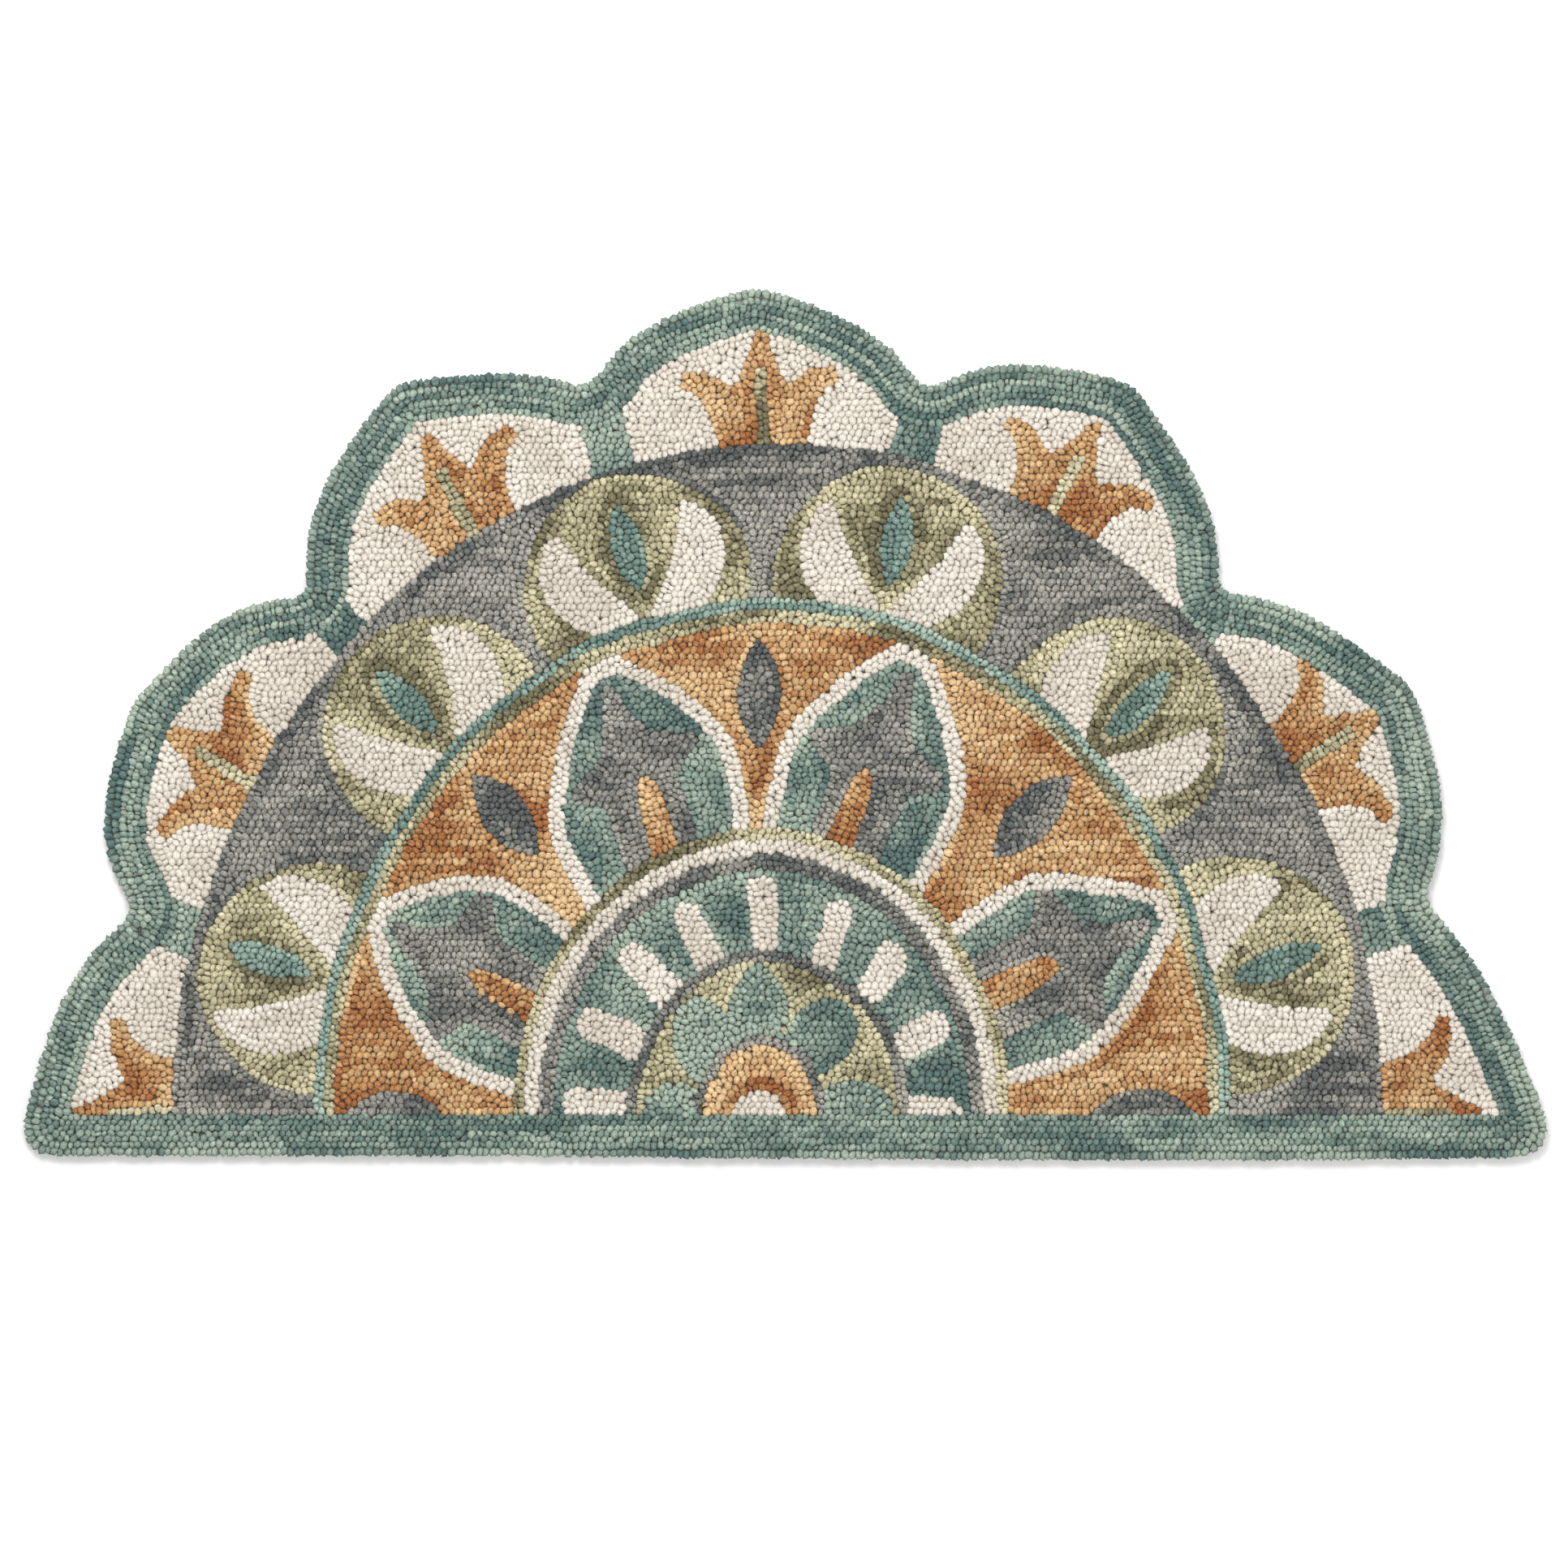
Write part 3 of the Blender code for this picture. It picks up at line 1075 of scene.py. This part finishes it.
YARN_SHADES = {
    # how the dye took, from 0 to 1, and the colour there, from the deepest to the palest
    CREAM: ((0.0, (204, 195, 182)), (0.3, (214, 206, 193)), (1.0, (224, 217, 206))),
    OCHRE: ((0.0, (152, 93, 50)), (0.25, (182, 137, 89)), (0.7, (200, 165, 119)), (1.0, (215, 184, 140))),
    GRAY: ((0.0, (87, 91, 90)), (0.3, (122, 122, 116)), (0.7, (146, 144, 137)), (1.0, (168, 164, 154))),
    TEAL: ((0.0, (84, 109, 105)), (0.3, (118, 137, 127)), (0.7, (140, 157, 145)), (1.0, (160, 174, 158))),
    OLIVE: ((0.0, (111, 105, 77)), (0.25, (155, 148, 116)), (0.7, (186, 179, 145)), (1.0, (206, 198, 166))),
    AQUA: ((0.0, (102, 126, 118)), (0.3, (124, 148, 138)), (0.7, (146, 167, 154)), (1.0, (166, 184, 170))),
}


def strand_way(tree):
    """Each point's place in its own loop, turned to run along and across the plies."""
    turned = tree.nodes.new("ShaderNodeVectorRotate")
    turned.inputs["Axis"].default_value = (0.0, 0.0, 1.0)
    turned.inputs["Angle"].default_value = math.radians(38)
    tree.links.new(stored(tree, "strand", "Vector"), turned.inputs["Vector"])
    return turned.outputs[0]


def ply_ridges(tree, strand, mottle):
    """0 in the grooves between plies, and 1 on top of each; the mottle bends them."""
    split = tree.nodes.new("ShaderNodeSeparateXYZ")
    tree.links.new(strand, split.inputs[0])
    turns = scaled(tree, split.outputs[0], math.pi / PLY_WIDTH)
    return ridged(tree, sum_of(tree, turns, swing(tree, mottle, 7.0)))


def yarn_material(name, yarn):
    """Plied wool: the dye's streaks, heathered fibres, and ply lines with painted highlight
    and shade, and painted shade between loops.
    """
    material, tree, shader = new_material(name)
    strand = strand_way(tree)
    place = vector_node(tree, "MULTIPLY_ADD", strand, (1.0, 0.25, 1.0), position_of(tree))
    fibres = noise_node(tree, place, FIBRE_SCALE, 3.0)
    mottle = noise_node(tree, place, MOTTLE_SCALE, 2.0)
    ridges = ply_ridges(tree, strand, mottle)
    dye = sum_of(tree, stored(tree, "dye"), swing(tree, mottle, 0.5))
    colour = shade_ramp(tree, dye, YARN_SHADES[yarn])
    # Painted shade, strongest at each loop's foot, where the loops meet
    depth = value_node(tree, "POWER", stored(tree, "depth"), 1.4)
    heather = HEATHER.get(yarn, 1.0)
    # The loops' light and dark: heathered fibres and their own tones, with painted highlight and shade on
    # the plies and painted shade between the loops
    light = sum_of(
        tree,
        1.0,
        swing(tree, fibres, FIBRE_LIGHT * heather),
        swing(tree, mottle, MOTTLE_LIGHT * heather),
        # painted highlight on the plies' ridges and painted shade in their grooves
        swing(tree, ridges, PLY_PAINTED_SHADING),
        scaled(tree, stored(tree, "tone"), TONE_LIGHT * min(heather, 1.0)),
        # painted shade between the loops
        scaled(tree, depth, -PAINTED_GAP_SHADE.get(yarn, USUAL_PAINTED_GAP_SHADE)),
    )
    grey = tree.nodes.new("ShaderNodeCombineColor")
    for socket in grey.inputs:
        tree.links.new(light, socket)
    # Painted shade and bounced light between the loops: the colour is multiplied by itself towards each
    # loop's foot, so it is darker and richer there
    painted_gap_shade_colour = mix_colours(tree, "MULTIPLY", scaled(tree, depth, 0.5), colour, colour)
    final = mix_colours(tree, "MULTIPLY", 1.0, painted_gap_shade_colour, grey.outputs[0])
    set_finish(tree, shader, final, 0.95)
    shader.inputs["Specular IOR Level"].default_value = 0.2
    shader.inputs["Sheen Weight"].default_value = 0.10
    shader.inputs["Sheen Roughness"].default_value = 0.5
    rough = sum_of(tree, value_node(tree, "POWER", ridges, 0.6), fibres)
    add_bump(tree, shader, rough, 0.8, 0.00032)
    return material


def painted_shade_roots_material():
    """The bed of yarn that shows between the loops, painted dark for the shade there."""
    material, tree, shader = new_material("yarn_roots_painted_shade")
    blotches = noise_node(tree, position_of(tree), 260.0, 3.0)
    shades = shade_ramp(tree, blotches, ((0.3, (66, 63, 54)), (0.7, (116, 108, 92))))
    set_finish(tree, shader, shades, 1.0)
    return material


def cloth_material():
    """Plain woven cotton, seen beneath the rug and at the foot of its edge."""
    material, tree, shader = new_material("cotton_cloth")
    position = position_of(tree)
    split = tree.nodes.new("ShaderNodeSeparateXYZ")
    tree.links.new(position, split.inputs[0])
    turns = math.pi / THREAD_SPACING
    across, along = (ridged(tree, scaled(tree, split.outputs[i], turns)) for i in (0, 1))
    weave = value_node(tree, "MAXIMUM", across, along)
    slubs = noise_node(tree, vector_node(tree, "MULTIPLY", position, (1.0, 9.0, 1.0)), 90.0, 3.0)
    share = sum_of(tree, scaled(tree, weave, 0.35), scaled(tree, slubs, 0.65))
    colour = shade_ramp(tree, share, ((0.25, (172, 158, 134)), (0.75, (214, 203, 182))))
    set_finish(tree, shader, colour, 0.95)
    add_bump(tree, shader, weave, 0.6, 0.00025)
    return material


def floor_material():
    """Plain matt white."""
    material, tree, shader = new_material("floor")
    set_finish(tree, shader, (0.86, 0.86, 0.86, 1.0), 0.9)
    return material


# The setting

def make_floor():
    """A wide pale floor at the rug's underside."""
    bpy.ops.mesh.primitive_plane_add(size=12.0, location=(0.0, 0.0, -0.0002))
    floor = bpy.context.object
    floor.name = "floor"
    floor.data.materials.append(floor_material())


def make_lights():
    """Soft light from above, a little stronger from the far side, and a white surround."""
    world = bpy.data.worlds.new("surround")
    bpy.context.scene.world = world
    world.use_nodes = True
    background = world.node_tree.nodes["Background"]
    background.inputs["Color"].default_value = (1.0, 1.0, 1.0, 1.0)
    background.inputs["Strength"].default_value = 0.80
    for name, place, size, power in (
        ("key", (-0.6, 1.5, 2.4), 1.5, 60.0),
        ("fill", (1.4, -1.6, 2.4), 1.8, 22.0),
    ):
        light = bpy.data.lights.new(name, "AREA")
        light.size = size
        light.energy = power
        lamp = new_object(name, light)
        lamp.location = place
        lamp.rotation_euler = (-Vector(place)).to_track_quat("-Z", "Y").to_euler()


# What the camera takes in: its middle, and how wide it is there
PICTURE_MIDDLE, PICTURE_WIDTH = (-0.001, -0.0406, 0.008), 1.0485


def make_camera():
    """A long lens nearly straight above the rug, from the side of its straight edge."""
    data = bpy.data.cameras.new("camera")
    data.lens = 600.0
    data.sensor_width = 36.0
    camera = new_object("camera", data)
    elevation = math.radians(82.0)
    back = Vector((0.0, -math.cos(elevation), math.sin(elevation)))
    distance = PICTURE_WIDTH * data.lens / data.sensor_width
    camera.location = Vector(PICTURE_MIDDLE) + back * distance
    camera.rotation_euler = (-back).to_track_quat("-Z", "Y").to_euler()
    bpy.context.scene.camera = camera


YARN_NAMES = {
    CREAM: "cream", OCHRE: "ochre", GRAY: "gray", TEAL: "teal", OLIVE: "olive", AQUA: "aqua",
}
MOST_LOOPS = 3800          # in one piece


def make_rug():
    """The rug: its cloth, and its loops in pieces of one yarn each."""
    rng = np.random.default_rng(SEED)
    outline = rug_outline(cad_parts[RUG_NODE].data)
    pattern = draw_pattern(outline)
    add_row_fields(pattern)
    loops = joined(field_loops(pattern, rng), side_loops(outline, rng))
    pieces = []
    for yarn, colour in YARN_NAMES.items():
        own = loops["yarn"] == yarn
        parts = math.ceil(own.sum() / MOST_LOOPS)
        limits = np.quantile(loops["root"][own, 0], np.linspace(0.0, 1.0, parts + 1))
        limits[0], limits[-1] = -math.inf, math.inf
        material = yarn_material("wool_" + colour, yarn)
        for part in range(parts):
            x = loops["root"][:, 0]
            chosen = own & (x >= limits[part]) & (x < limits[part + 1])
            name = f"loops_{colour}_{part + 1}"
            piece = loop_piece(name, picked(loops, chosen), material, rng)
            pieces.append(piece)
    cloth = ground_cloth(outline, (cloth_material(), painted_shade_roots_material()))
    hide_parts(RUG_NODE)
    for piece in [cloth] + pieces:
        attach(piece, "root")


make_rug()
make_floor()
make_lights()
make_camera()
bpy.context.scene.view_settings.view_transform = "Standard"
